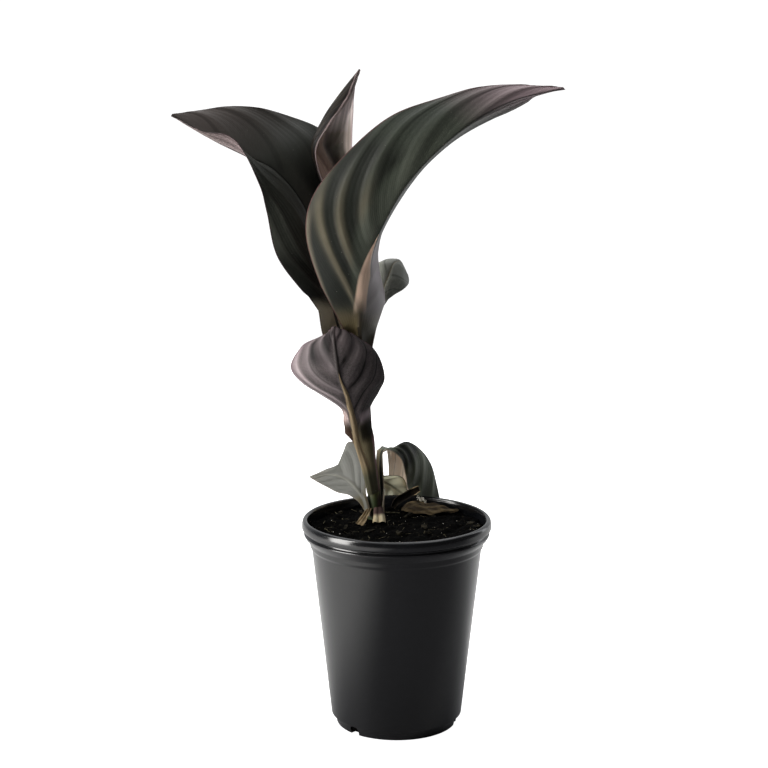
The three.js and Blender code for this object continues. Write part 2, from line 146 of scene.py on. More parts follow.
floor = fresh("floor", bpy.ops.mesh.primitive_plane_add, size=1)
floor.scale = (6, 4, 1)
bpy.ops.object.transform_apply()
floor_finish, floor_tree, floor_shader = new_finish("floor", Roughness=0.7)
floor_place = object_place(floor_tree)
floor_pale = mix_colours(mottle(floor_place, 3.0), (236, 236, 235), (244, 244, 244))
floor_ways = split(floor_place)
# Painted shade: the floor's colour is darker to the front and right, as if less light fell there.
# It shows only in reflections, since to the camera the floor glows evenly white.
floor_painted_shade = times(smooth_step(floor_ways["X"], -0.24, -0.04),
                  smooth_step(floor_ways["Y"], 0.25, -0.1))
feed(floor_tree, floor_shader, mix_colours(floor_painted_shade, floor_pale, (116, 116, 119)))
floor_shader.inputs["Emission Color"].default_value = (1, 1, 1, 1)
floor_seen = add_node(floor_tree, "LightPath").outputs["Is Camera Ray"]
floor_tree.links.new(floor_seen, floor_shader.inputs["Emission Strength"])
floor.data.materials.append(floor_finish)


def soft_light(name, place, aim, size, power, colour=(1, 1, 1)):
    data = bpy.data.lights.new(name, "AREA")
    data.shape = "RECTANGLE"
    data.size, data.size_y = size
    data.energy = power
    data.color = colour
    lamp = bpy.data.objects.new(name, data)
    bpy.context.collection.objects.link(lamp)
    lamp.location = place
    lamp.rotation_euler = (Vector(aim) - Vector(place)).to_track_quat("-Z", "Y").to_euler()
    lamp.visible_camera = False


soft_light("light_left", (-1.5, -0.55, 0.7), (0, 0, 0.3), (0.8, 1.5), 42, (1, 0.98, 0.95))
soft_light("light_right", (1.3, 1.0, 0.7), (0, 0, 0.25), (0.3, 1.4), 2.5, (0.96, 0.98, 1))
soft_light("light_above", (0, 1.5, 3.2), (0, 1.0, 0), (4, 4), 55)

world = bpy.data.worlds.new("studio")
world.use_nodes = True
bpy.context.scene.world = world
air = world.node_tree
ways = split(add_node(air, "TexCoord").outputs["Generated"])
bright = maths("MAXIMUM", smooth_step(ways["Y"], 0.2, 0.95), smooth_step(ways["Z"], 0.55, 1.0))
glow = mix_colours(bright, (0.05, 0.05, 0.05, 1), (0.6, 0.61, 0.62, 1))
seen = add_node(air, "LightPath").outputs["Is Camera Ray"]
air.links.new(mix_colours(seen, glow, (1.1, 1.1, 1.1, 1)), air.nodes["Background"].inputs["Color"])
bpy.context.scene.view_settings.view_transform = "Standard"


# Pot: a deep round nursery pot moulded in one piece from black polypropylene, with a sloped lip,
# a slit under it, a stacking bead, a slightly flared wall and a stepped foot with drain notches
MM = 0.001


def edit_all():
    """Goes into edit mode with everything selected"""
    bpy.ops.object.mode_set(mode="EDIT")
    bpy.ops.mesh.select_all(action="SELECT")


def close_edit():
    """Turns all faces outwards and leaves edit mode"""
    bpy.ops.mesh.select_all(action="SELECT")
    bpy.ops.mesh.normals_make_consistent(inside=False)
    bpy.ops.object.mode_set(mode="OBJECT")


def pick(test):
    """In edit mode, selects the vertices whose place passes the test"""
    mesh = bpy.context.edit_object.data
    bpy.ops.mesh.select_all(action="DESELECT")
    shape = bmesh.from_edit_mesh(mesh)
    for vertex in shape.verts:
        vertex.select_set(test(vertex.co))
    shape.select_flush_mode()
    bmesh.update_edit_mesh(mesh)


def turned(name, rings, sides):
    """Extrudes a circle through rings of (radius, height) in millimetres, and closes both ends"""
    first_radius, first_height = rings[0]
    made = fresh(name, bpy.ops.mesh.primitive_circle_add, vertices=sides,
                 radius=first_radius * MM, location=(0, 0, first_height * MM))
    bpy.ops.object.transform_apply()
    edit_all()
    for (radius, height), (next_radius, next_height) in zip(rings, rings[1:]):
        bpy.ops.mesh.extrude_region_move(
            TRANSFORM_OT_translate={"value": (0, 0, (next_height - height) * MM)})
        grow = next_radius / radius
        bpy.ops.transform.resize(value=(grow, grow, 1), center_override=(0, 0, next_height * MM))
    bpy.ops.mesh.merge(type="CENTER")
    start = Vector((0, 0, first_height * MM))
    pick(lambda co: (co - start).length < first_radius * MM * 1.01)
    bpy.ops.mesh.merge(type="CENTER")
    close_edit()
    return made


def take(piece):
    """Selects this piece alone"""
    bpy.ops.object.select_all(action="DESELECT")
    piece.select_set(True)
    bpy.context.view_layer.objects.active = piece


def add_modifier(piece, kind, **settings):
    """Adds a modifier and applies it"""
    take(piece)
    new = piece.modifiers.new(kind.lower(), kind)
    for name, value in settings.items():
        setattr(new, name, value)
    bpy.ops.object.modifier_apply(modifier=new.name)


def shade_round(piece, degrees):
    take(piece)
    bpy.ops.object.shade_smooth_by_angle(angle=math.radians(degrees))


def stretched(place, scale):
    return add_node(tree_of(place), "Mapping", {"Vector": place, "Scale": scale}).outputs[0]


def between(value, start, end, low=0.0, high=1.0):
    """Goes from start to end while the value goes from low to high"""
    sockets = {"Value": value, "From Min": low, "From Max": high, "To Min": start, "To Max": end}
    return add_node(tree_of(value), "MapRange", sockets).outputs[0]


def hand_over(piece, finish, node):
    """Gives a piece its finish, and stands it on the one body in the place of a node"""
    piece.data.materials.append(finish)
    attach(piece, "root")
    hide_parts(node)


# Up the outside, over the lip, down the inside and across the floor
pot_rings = [
    (1, 0), (54.2, 0), (56, 8.2), (58.9, 8.8), (76.1, 163), (77.6, 165), (78.2, 169.5),
    (81.8, 173.5), (83.6, 176.8), (81.4, 178.4), (81.4, 180), (84.8, 181.2), (85, 184.8),
    (84.2, 188.6), (82.4, 190), (80.6, 189.6), (79.6, 187.5), (78.8, 176), (74.6, 163),
    (57.4, 10.4), (54, 6.4), (52.8, 1.8), (1, 1.8),
]
pot_sides, pot_edge = 160, 0.8 * MM
pot = turned("nursery_pot", pot_rings, pot_sides)
add_modifier(pot, "BEVEL", width=pot_edge, segments=3, limit_method="ANGLE",
             angle_limit=math.radians(18))

notch_count, notch_turn = 3, math.radians(227 + 90)
notch_width, notch_height, notch_corner = 10 * MM, 7.5 * MM, 3.9 * MM
cutter_depth, cutter_distance, cutter_below = 14 * MM, 53 * MM, 1 * MM
notch = fresh("drain_notch", bpy.ops.mesh.primitive_cube_add, size=1)
notch.scale = (notch_width, cutter_depth, notch_height + cutter_below)
notch.location = (0, -cutter_distance, (notch_height - cutter_below) / 2)
bpy.ops.object.transform_apply()
bpy.ops.object.mode_set(mode="EDIT")
pick(lambda co: co.z > notch_height / 2)
bpy.ops.mesh.select_mode(type="EDGE")
notch_mesh = bmesh.from_edit_mesh(notch.data)
for edge in notch_mesh.edges:
    ends = [vertex.co for vertex in edge.verts]
    edge.select_set(min(e.z for e in ends) > notch_height / 2 and abs(ends[0].y - ends[1].y) > MM)
bmesh.update_edit_mesh(notch.data)
bpy.ops.mesh.bevel(offset=notch_corner, segments=12)
bpy.ops.mesh.select_mode(type="VERT")
bpy.ops.object.mode_set(mode="OBJECT")
for step in range(notch_count):
    cutter = notch.copy()
    cutter.data = notch.data.copy()
    bpy.context.collection.objects.link(cutter)
    cutter.rotation_euler = (0, 0, notch_turn + step * math.tau / notch_count)
    bpy.context.view_layer.update()
    add_modifier(pot, "BOOLEAN", object=cutter, operation="DIFFERENCE", solver="EXACT")
    bpy.data.objects.remove(cutter)
bpy.data.objects.remove(notch)
shade_round(pot, 35)

pot_finish, pot_tree, pot_shader = new_finish("black_plastic", Specular_IOR_Level=0.8, IOR=1.49)
pot_place = object_place(pot_tree)
pot_cloud = mottle(stretched(pot_place, (1, 1, 0.12)), 22.0, 4.0)
pot_grain = mottle(pot_place, 900.0, 3.0)
pot_colour = mix_colours(smooth_step(pot_cloud, 0.3, 0.75), (9, 10, 12), (15, 16, 19))
feed(pot_tree, pot_shader, pot_colour, between(pot_cloud, 0.15, 0.23), pot_grain, 0.00003)
hand_over(pot, pot_finish, "pot")


# Potting soil: dark peat that fills the pot to a finger's width under the lip. Its top is uneven,
# rises a little round the stem and breaks into small crumbs.
soil_level, soil_relief, soil_radius = 180, 1.1, 78.4
mound_x, mound_y, mound_height, mound_spread = -20, 22, 2, 900
ripple_count, ripple_shortest, ripple_longer = 9, 9, 16
soil_cells = 190


def steady_draws(seed):
    """The same run of numbers from 0 to 1 for the same seed"""
    span = 2 ** 32
    state = seed
    while True:
        state = (state * 1664525 + 1013904223) % span
        yield state / span


soil_draws = steady_draws(7)
soil_ripples = []
for k in range(ripple_count):
    heading = next(soil_draws) * math.tau
    length = ripple_shortest + ripple_longer * next(soil_draws)
    soil_ripples.append((math.cos(heading) / length, math.sin(heading) / length,
                         next(soil_draws) * math.tau))


def soil_height(x, y):
    swell = sum(np.sin(math.tau * (rx * x + ry * y) + phase) for rx, ry, phase in soil_ripples)
    mound = mound_height * np.exp(-((x - mound_x) ** 2 + (y - mound_y) ** 2) / mound_spread)
    return soil_level + soil_relief * swell / 3 + mound


def of_vertices(piece, what="co"):
    values = np.empty(len(piece.data.vertices) * 3)
    piece.data.vertices.foreach_get(what, values)
    return values.reshape(-1, 3)


def set_vertices(piece, places):
    piece.data.vertices.foreach_set("co", np.ascontiguousarray(places).ravel())
    piece.data.update()


def specks(place, scale):
    cells = add_node(tree_of(place), "TexVoronoi", {"Vector": place, "Scale": scale})
    return cells.outputs["Distance"]


soil = fresh("soil_top", bpy.ops.mesh.primitive_grid_add, x_subdivisions=soil_cells,
             y_subdivisions=soil_cells, size=2)
square = of_vertices(soil)
sx, sy = square[:, 0], square[:, 1]
disc_x = sx * np.sqrt(1 - sy ** 2 / 2) * soil_radius
disc_y = sy * np.sqrt(1 - sx ** 2 / 2) * soil_radius
crumb = np.array([
    noise.noise((x / 3.4, y / 3.4, 1)) * 0.9 + abs(noise.noise((x / 1.5, y / 1.5, 5))) * 1.1
    + noise.noise((x / 0.8, y / 0.8, 9)) * 0.35
    for x, y in zip(disc_x, disc_y)])
fade = np.clip((1 - np.hypot(disc_x, disc_y) / soil_radius) * 25, 0, 1)
tops = soil_height(disc_x, disc_y) + crumb * fade
set_vertices(soil, np.stack([disc_x, disc_y, tops], 1) * MM)
edit_all()
bpy.ops.mesh.region_to_loop()
radius_above = soil_radius
for height, radius in ((163, 74.2), (10.6, 57), (2.2, 52.4)):
    bpy.ops.mesh.extrude_region_move()
    share = radius / radius_above
    rim = bmesh.from_edit_mesh(soil.data)
    for vertex in (v for v in rim.verts if v.select):
        vertex.co = (vertex.co.x * share, vertex.co.y * share, height * MM)
    bmesh.update_edit_mesh(soil.data)
    radius_above = radius
bpy.ops.mesh.edge_face_add()
close_edit()
shade_round(soil, 70)

soil_finish, soil_tree, soil_shader = new_finish("peat", Specular_IOR_Level=0.05)
soil_place = object_place(soil_tree)
soil_lumps = mottle(soil_place, 260.0, 6.0)
soil_specks = specks(soil_place, 420.0)
soil_colour = mix_colours(smooth_step(soil_lumps, 0.42, 0.72), (1, 1, 1), (7, 6, 5))
soil_colour = mix_colours(smooth_step(soil_specks, 0.16, 0.08), soil_colour, (24, 20, 15))
feed(soil_tree, soil_shader, soil_colour, smooth_step(soil_lumps, -0.6, 0.5), soil_lumps, 0.0008)
hand_over(soil, soil_finish, "soil")


# Bark chips: flat splinters of pine bark mixed into the peat to keep it open. They lie half sunk,
# split along the grain and broken across it, and clear of the stems.
chip_count, chip_reach, chip_thickness, stem_room = 24, 72, 2.4, 22


def mixed_in(name, pieces, finish, dark, light, scale, depth):
    """Makes small repeats one piece of the soil, with a grainy finish"""
    take(pieces[0])
    for piece in pieces:
        piece.select_set(True)
    bpy.ops.object.join()
    bpy.ops.object.transform_apply()
    whole = bpy.context.object
    whole.name = name
    material, tree, shader = new_finish(finish, Roughness=0.9, Specular_IOR_Level=0.08)
    grain = mottle(object_place(tree), scale, 5.0)
    colour = mix_colours(smooth_step(grain, 0.35, 0.65), dark, light)
    feed(tree, shader, colour, height=grain, depth=depth)
    hand_over(whole, material, "soil")
    return whole


noise.seed_set(7)  # or else noise_vector takes its seed from the clock
chips = []
for k in range(chip_count):
    angle, distance = next(soil_draws) * math.tau, chip_reach * math.sqrt(next(soil_draws))
    x, y = distance * math.cos(angle), distance * math.sin(angle)
    size = (5 + 7 * next(soil_draws), 2.5 + 2.5 * next(soil_draws), chip_thickness)
    turn = Euler(((next(soil_draws) - 0.5) * 0.7, (next(soil_draws) - 0.5) * 0.5,
                  next(soil_draws) * math.pi))
    if math.hypot(x + 22, y - 16) <= stem_room:
        continue
    chip = fresh("chip", bpy.ops.mesh.primitive_cube_add, size=1)
    edit_all()
    bpy.ops.mesh.subdivide(number_cuts=3)
    bpy.ops.object.mode_set(mode="OBJECT")
    flat = of_vertices(chip)
    round_off = 1 - 0.22 * (np.abs(flat[:, 0]) * 2) ** 3
    flat[:, 1] *= round_off
    flat[:, 2] *= round_off
    ragged = np.array([noise.noise_vector((a * 3 + k, b * 3, c * 3)) for a, b, c in flat])
    set_vertices(chip, (flat + ragged * 0.16) * np.array(size) * MM)
    chip.location = (x * MM, y * MM, (soil_height(x, y) + 0.4) * MM)
    chip.rotation_euler = turn
    chips.append(chip)
bark = mixed_in("bark_chips", chips, "bark", (9, 8, 6), (50, 46, 36), 320.0, 0.0005)
shade_round(bark, 40)


# Crumbs and perlite: broken lumps of peat on top of the soil, and pale grains of puffed volcanic
# glass that loosen it. Some bigger grains lie along the far edge of the dead leaf.
crumb_count, grain_count, edge_grain_count = 260, 34, 22
scatter = random.Random(11)
draw = scatter.uniform


def lump(size, place, seed):
    """A small broken piece, its size in millimetres"""
    one = fresh("lump", bpy.ops.mesh.primitive_ico_sphere_add,
                subdivisions=2 if size > 1.0 else 1, radius=0.5)
    flat = of_vertices(one)
    rough = np.array([noise.noise_vector((a * 2.4 + seed, b * 2.4, c * 2.4)) for a, b, c in flat])
    squash = np.array([1, draw(0.6, 1), draw(0.5, 0.8)])
    set_vertices(one, (flat + rough * 0.35) * squash * size * MM)
    one.location = [v * MM for v in place]
    one.rotation_euler = (draw(-0.5, 0.5), draw(-0.5, 0.5), draw(0, math.tau))
    return one


def soil_spot(margin=3):
    """A place on the soil, at least the margin away from the pot's wall"""
    distance, angle = (78 - margin) * math.sqrt(scatter.random()), draw(0, math.tau)
    return distance * math.cos(angle), distance * math.sin(angle)


crumbs = []
for k in range(crumb_count):
    x, y = soil_spot()
    crumbs.append(lump(draw(0.8, 2.6), (x, y, soil_height(x, y) + 0.4), k))
mixed_in("peat_crumbs", crumbs, "peat_crumb", (3, 3, 2), (38, 35, 28), 500.0, 0.0004)

grains = []
for k in range(grain_count):
    x, y = soil_spot()
    grains.append(lump(draw(0.5, 1.1), (x, y, soil_height(x, y) + 0.7), 300 + k))
for k in range(edge_grain_count):
    x = draw(19, 27)
    y = 66 - 0.9 * (x - 19) + draw(-1.2, 1.2)
    size = draw(1.3, 2.5)
    grains.append(lump(size, (x, y, 191.6 - 0.25 * (x - 19) + draw(-2, 2)), 400 + k))
mixed_in("perlite_grains", grains, "perlite", (150, 146, 132), (222, 219, 208), 900.0, 0.0003)


# Fibres: threads of peat moss and a few longer straws, dry and pale, that lie loose on the soil
# and bend a little
fibre_count = 46
straws = [((-57.2, 52.8), (-49.1, 31.3), 0.35), ((-65, 18), (-66, 9), 0.4),
          ((-10.8, 43.7), (2.5, 43.9), 0.45)]
for k in range(fibre_count):
    x, y = soil_spot(8)
    length, heading = draw(3, 9), draw(0, math.tau)
    end = (x + length * math.cos(heading), y + length * math.sin(heading))
    straws.append(((x, y), end, draw(0.1, 0.2)))
fibres = []
for start, end, radius in straws:
    fibre = fresh("fibre", bpy.ops.curve.primitive_bezier_curve_add)
    ends = [Vector((x, y, soil_height(x, y) + 1.0)) * MM for x, y in (start, end)]
    bend = Vector((draw(-1, 1), draw(-1, 1), draw(0.2, 1.2))) * MM
    third = (ends[1] - ends[0]) / 3
    for point, place in zip(fibre.data.splines[0].bezier_points, ends):
        point.co = place
        point.handle_left = place - third + bend
        point.handle_right = place + third + bend
    fibre.data.bevel_depth = radius * MM
    fibre.data.bevel_resolution = 1
    fibre.data.resolution_u = 5
    fibre.data.use_fill_caps = True
    bpy.ops.object.convert(target="MESH")
    fibres.append(bpy.context.object)
mixed_in("peat_fibres", fibres, "peat_fibre", (58, 55, 44), (122, 116, 94), 600.0, 0.0002)


# Pseudostem: leaf bases rolled tightly round one another, fleshy and smooth. It stands in the
# soil, leans a little and tapers up into the rolled youngest leaf.
def through(points):
    """A smooth curve through the stations, to be read at any place from 0 to 1"""
    known = np.array(points, float)
    known = np.vstack([2 * known[0] - known[1], known, 2 * known[-1] - known[-2]])
    spans = len(points) - 1

    def read(place):
        place = np.clip(np.asarray(place, float), 0, 1) * spans
        start = np.minimum(place.astype(int), spans - 1)
        t = (place - start)[..., None]
        a, b, c, d = (known[start + k] for k in range(4))
        return b + 0.5 * t * (c - a + t * (2 * a - 5 * b + 4 * c - d + t * (3 * (b - c) + d - a)))
    return read


stem_axis = through([
    [-20, 22, 168.3], [-20.3, 22, 195.5], [-22, 21.5, 228.5], [-27, 21, 258], [-30.5, 21, 288.5],
    [-29.5, 22, 320], [-28, 24, 351.5], [-30.5, 27, 382.5], [-34.5, 26, 417],
])
stem_radii = through([[6.4], [6.0], [4.3], [4.6], [5.0], [4.8], [4.2], [3.2], [1.6]])
stem_sides, stem_steps = 64, 90
stem_rings = [(float(stem_radii(k / stem_steps)[0]), float(stem_axis(k / stem_steps)[2]))
              for k in range(stem_steps + 1)]
stem_outline = [(0.5, stem_rings[0][1]), *stem_rings, (0.3, stem_rings[-1][1] + 0.4)]
stem = turned("stem", stem_outline, stem_sides)
stem_places = of_vertices(stem) / MM
stem_along = np.interp(stem_places[:, 2], [z for r, z in stem_rings],
                       np.linspace(0, 1, stem_steps + 1))
stem_turn = np.arctan2(stem_places[:, 1], stem_places[:, 0])
stem_out = np.hypot(stem_places[:, 0], stem_places[:, 1])
sheath_overlap = 0.35 * ((3 * stem_turn + 9 * stem_along) / math.tau % 1) * np.minimum(stem_out, 1)
stem_middle = stem_axis(stem_along)
stem_places[:, 0] = stem_middle[:, 0] + (stem_out + sheath_overlap) * np.cos(stem_turn)
stem_places[:, 1] = stem_middle[:, 1] + (stem_out + sheath_overlap) * np.sin(stem_turn)
set_vertices(stem, stem_places * MM)
shade_round(stem, 60)

stem_finish, stem_tree, stem_shader = new_finish("stem_skin", Specular_IOR_Level=0.5)
stem_place = object_place(stem_tree)
stem_streak = mottle(stretched(stem_place, (1, 1, 0.05)), 900.0, 3.0)
stem_cloud = mottle(stem_place, 60.0)
stem_colour = mix_colours(smooth_step(stem_cloud, 0.35, 0.65), (82, 92, 42), (104, 72, 66))
stem_colour = mix_colours(smooth_step(stem_streak, 0.45, 0.7), stem_colour, (140, 125, 86))
stem_spot = split(stem_place)
stem_foot = mix_colours(smooth_step(stem_spot["X"], -0.019, -0.016), (42, 54, 18), (60, 44, 40))
stem_colour = mix_colours(smooth_step(stem_spot["Z"], 0.215, 0.2), stem_colour, stem_foot)
feed(stem_tree, stem_shader, stem_colour, smooth_step(stem_cloud, -0.8, 1.5), stem_streak, 0.00015)
hand_over(stem, stem_finish, "pseudostem")


# Leaves: each blade grew as one piece from its sheath. A thick midrib carries two halves, whose
# side veins leave it at a slant and run forward to the margin with the blade puckered between.
def keep_for_finish(piece, name, values):
    """Keeps a number or a vector with each vertex"""
    kind, field = ("FLOAT_VECTOR", "vector") if values.ndim > 1 else ("FLOAT", "value")
    kept = piece.data.attributes.new(name, kind, "POINT")
    kept.data.foreach_set(field, values.astype("f").ravel())


def leaf_blade(name, shape, columns, rows, thickness=0.5):
    """A grid whose rows follow the side veins, set on the surface between midrib and margins"""
    shape = {"pleats": 8, "pleat_depth": 0.6, "wave": 0, "waves": 6, "sweep": 0.85, "keel": 1.1,
             "groove": 0.5, "wander": 0.5, **shape}
    blade = fresh(name, bpy.ops.mesh.primitive_grid_add, x_subdivisions=columns,
                  y_subdivisions=rows, size=2)

    # Columns crowd towards the midrib, and rows sweep forward on the blade but not on the sheath
    flat = of_vertices(blade)
    across = np.sign(flat[:, 0]) * np.abs(flat[:, 0]) ** 1.35
    out = np.abs(across)
    row = (flat[:, 1] + 1) / 2
    start = shape["blade_start"]
    on_blade = np.clip((row - start) / (1 - start), 0, 1) ** 1.6
    along = np.minimum(row, start) + (1 - start) * on_blade
    slant = out ** np.maximum(1.9 * (1 - on_blade), 0.6)
    at = along + (1 - start) * shape["sweep"] * slant * on_blade ** 0.25 * (1 - on_blade)
    at = np.minimum(at, 1)

    # Each half spans from the midrib to its margin, and its lift is square to that span
    rib, left, right = (through(shape[key]) for key in ("rib", "left", "right"))
    bows = through(list(zip(shape["bow_left"], shape["bow_right"])))(at)
    middle = rib(at)
    ahead = rib(np.minimum(at + 0.001, 1)) - rib(np.maximum(at - 0.001, 0))
    side = np.where((across < 0)[:, None], left(at), right(at)) - middle
    facing = np.cross(side, ahead)
    facing /= np.linalg.norm(facing, axis=1)[:, None] + 1e-9
    facing[across < 0] *= -1
    width = np.linalg.norm(side, axis=1)
    from_rib = out * width

    # Lift: the bow of each half, puckers, fine lines, waves at the margin, an uneven swell and
    # the groove over the midrib
    bow = np.where(across < 0, bows[:, 0], bows[:, 1])
    fade = np.sqrt(np.sin(math.pi * on_blade)) * np.minimum(out * 6, 1) * (1 - 0.45 * out ** 2)
    turn = math.pi * shape["pleats"] * row
    crest = 1.8 * np.abs(np.cos(turn)) ** 5 - 0.8
    pleat = shape["pleat_depth"] * fade * (0.4 * np.cos(2 * turn) + 0.5 * crest)
    fine = 0.06 * fade * np.cos(10 * turn + 2 * np.sin(5 * across))
    wave = shape["wave"] * np.sin(math.pi * on_blade) * out ** 2.5 \
        * np.sin(math.tau * shape["waves"] * at + np.where(across < 0, 1.3, 0))
    swell = [noise.noise((a * 2.3, b * 7, len(name))) for a, b in zip(across, at)]
    wander = shape["wander"] * np.array(swell) * on_blade * out
    rib_reach = 2.4 * (1 - 0.8 * along)
    groove = -shape["groove"] * np.exp(-(from_rib / rib_reach) ** 2) \
        * np.sin(math.pi * np.sqrt(along))
    lift = bow * 4 * out * (1 - out) + pleat + fine + wave + wander + groove
    places = middle + side * out[:, None] + facing * lift[:, None]
    set_vertices(blade, places * MM)

    # The finish reads the place on the blade, and real distances from midrib and margin
    keep_for_finish(blade, "blade", np.stack([across, row, on_blade], 1))
    keep_for_finish(blade, "reach", np.stack([from_rib, width - from_rib, at], 1))
    facing_out = of_vertices(blade, "normal")
    add_modifier(blade, "SOLIDIFY", thickness=thickness * MM, offset=-1)
    keel = shape["keel"] * (1 - at) ** 0.8 * np.exp(-(from_rib / (0.9 * rib_reach)) ** 2)
    top = places + facing_out * thickness / 2
    underside = places - facing_out * (thickness / 2 + keel[:, None])
    set_vertices(blade, np.vstack([top, underside]) * MM)
    keep_for_finish(blade, "under", np.repeat([0.0, 1.0], len(places)))
    shade_round(blade, 50)
    return blade


def new_group(name, inputs, outputs):
    """A shader group with its named sockets, given as {label: kind}"""
    group = bpy.data.node_groups.new(name, "ShaderNodeTree")
    for way, labels in (("INPUT", inputs), ("OUTPUT", outputs)):
        for label, kind in labels.items():
            group.interface.new_socket(name=label, in_out=way, socket_type="NodeSocket" + kind)
    taken, given = group.nodes.new("NodeGroupInput"), group.nodes.new("NodeGroupOutput")
    return group, taken.outputs, given.inputs


def floats(labels):
    return dict.fromkeys(labels.split(", "), "Float")


def kept(tree, name):
    return add_node(tree, "Attribute", attribute_name=name).outputs


veins, given, veins_out = new_group(
    "leaf_veins",
    floats("Pleats, Ridge Power, Blade Start, Rib Width, Rib Start, Rib End, Seed"),
    floats("Ridge, Crease, Fine, Rib, Groove, Inner, Margin, Cloud, Speckle, Dust, Streak, Sheath, "
           "Side, Across, Along, Under, Right, Height"))
across_leaf, row_number, past_sheath = split(kept(veins, "blade")["Vector"])
from_rib, from_margin, from_base = split(kept(veins, "reach")["Vector"])
out_from_rib = maths("ABSOLUTE", across_leaf)
seeded_place = add_node(veins, "VectorMath", {0: object_place(veins), 1: given["Seed"]},
                        operation="ADD").outputs[0]
cloud = mottle(seeded_place, 42.0, 5.0)
speckle = mottle(seeded_place, 700.0)
dust = specks(seeded_place, 110.0)
lengthwise = add_node(veins, "CombineXYZ", {"X": times(across_leaf, 5.0), "Y": from_base,
                                            "Z": given["Seed"]}).outputs[0]
streak = mottle(lengthwise, 1.6, 3.0)

# Side veins: a pale soft band on each pucker, partly the veins' own paler tone and partly painted
# sheen, no two alike, with painted shade along the creased side toward the tip and fine lines
# beside it that turn lengthwise on the sheath
crease_lag, lines_to_pucker, sheath_line_turns = 0.62, 38.0, 60.0
right_half = smooth_step(across_leaf, -0.05, 0.05)
order = times(row_number, given["Pleats"])
phase = times(order, math.pi)
own_number = maths("ADD", maths("ROUND", order),
                   maths("ADD", given["Seed"], maths("ROUND", times(right_half, 40.0))))
own_noise = add_node(veins, "TexWhiteNoise", {"W": own_number}, noise_dimensions="1D")
own_strength = maths("ADD", times(own_noise.outputs["Value"], 0.6), 0.4)
on_pucker = times(smooth_step(past_sheath, 0.0, 0.06), smooth_step(from_rib, 1.0, 6.0))
# Painted sheen with the veins' own paler tone: a soft band on each pucker
ridge = maths("POWER", maths("ABSOLUTE", maths("COSINE", phase)), given["Ridge Power"])
ridge = times(ridge, own_strength, on_pucker)
# Painted shade: a dark line on the creased side of each pucker, toward the tip
crease = maths("ABSOLUTE", maths("COSINE", maths("SUBTRACT", phase, crease_lag)))
crease = times(smooth_step(crease, 0.96, 0.998), on_pucker)
blade_lines = maths("SINE", maths("ADD", times(phase, lines_to_pucker), times(cloud, 2.5)))
sheath_lines = maths("SINE", times(across_leaf, sheath_line_turns))
on_sheath = smooth_step(maths("SUBTRACT", from_base, given["Blade Start"]), 0.09, -0.03)
lines = maths("ADD", times(sheath_lines, on_sheath),
              times(blade_lines, maths("SUBTRACT", 1.0, on_sheath)))
lines = maths("ADD", times(lines, 0.5), 0.5)

# Midrib and margin: a pale wedge of thick tissue that narrows to a point at its end, with only
# painted shade in the groove beyond it, and a thin coloured rim round the blade
margin_width = 0.9
to_rib_end = maths("SUBTRACT", maths("ADD", given["Rib End"], 0.04), from_base)
rib_taper = maths("MINIMUM", maths("MAXIMUM", times(to_rib_end, 7.0), 0.001), 1.0)
rib_width = times(given["Rib Width"], rib_taper, maths("SUBTRACT", 1.05, from_base))
past_rib_start = maths("SUBTRACT", from_base, given["Rib Start"])
rib_mask = times(smooth_step(maths("DIVIDE", from_rib, rib_width), 1.15, 0.75),
                 smooth_step(past_rib_start, -0.03, 0.03))
# Painted shade in the groove along the midrib, beyond the pale wedge
groove_shade_mask = times(smooth_step(from_rib, 1.8, 0.3), maths("SUBTRACT", 1.0, rib_mask))
margin_mask = smooth_step(maths("DIVIDE", from_margin, margin_width), 1.3, 0.5)
for label, value in {
        "Ridge": ridge, "Crease": crease, "Fine": lines, "Rib": rib_mask, "Groove": groove_shade_mask,
        "Inner": smooth_step(out_from_rib, 0.65, 0.1), "Margin": margin_mask, "Cloud": cloud,
        "Speckle": speckle, "Dust": smooth_step(dust, 0.05, 0.03),
        "Streak": smooth_step(streak, 0.4, 0.6), "Sheath": on_sheath,
        "Side": smooth_step(out_from_rib, 0.35, 0.85), "Across": across_leaf, "Along": from_base,
        "Under": kept(veins, "under")["Fac"], "Right": right_half,
        "Height": maths("ADD", times(lines, 0.03), times(speckle, 0.05))}.items():
    veins.links.new(value, veins_out[label])


def blend(share, *colours):
    """A fixed mix of two given colours"""
    return tuple((1 - share) * a + share * b for a, b in zip(*map(as_light, colours)))


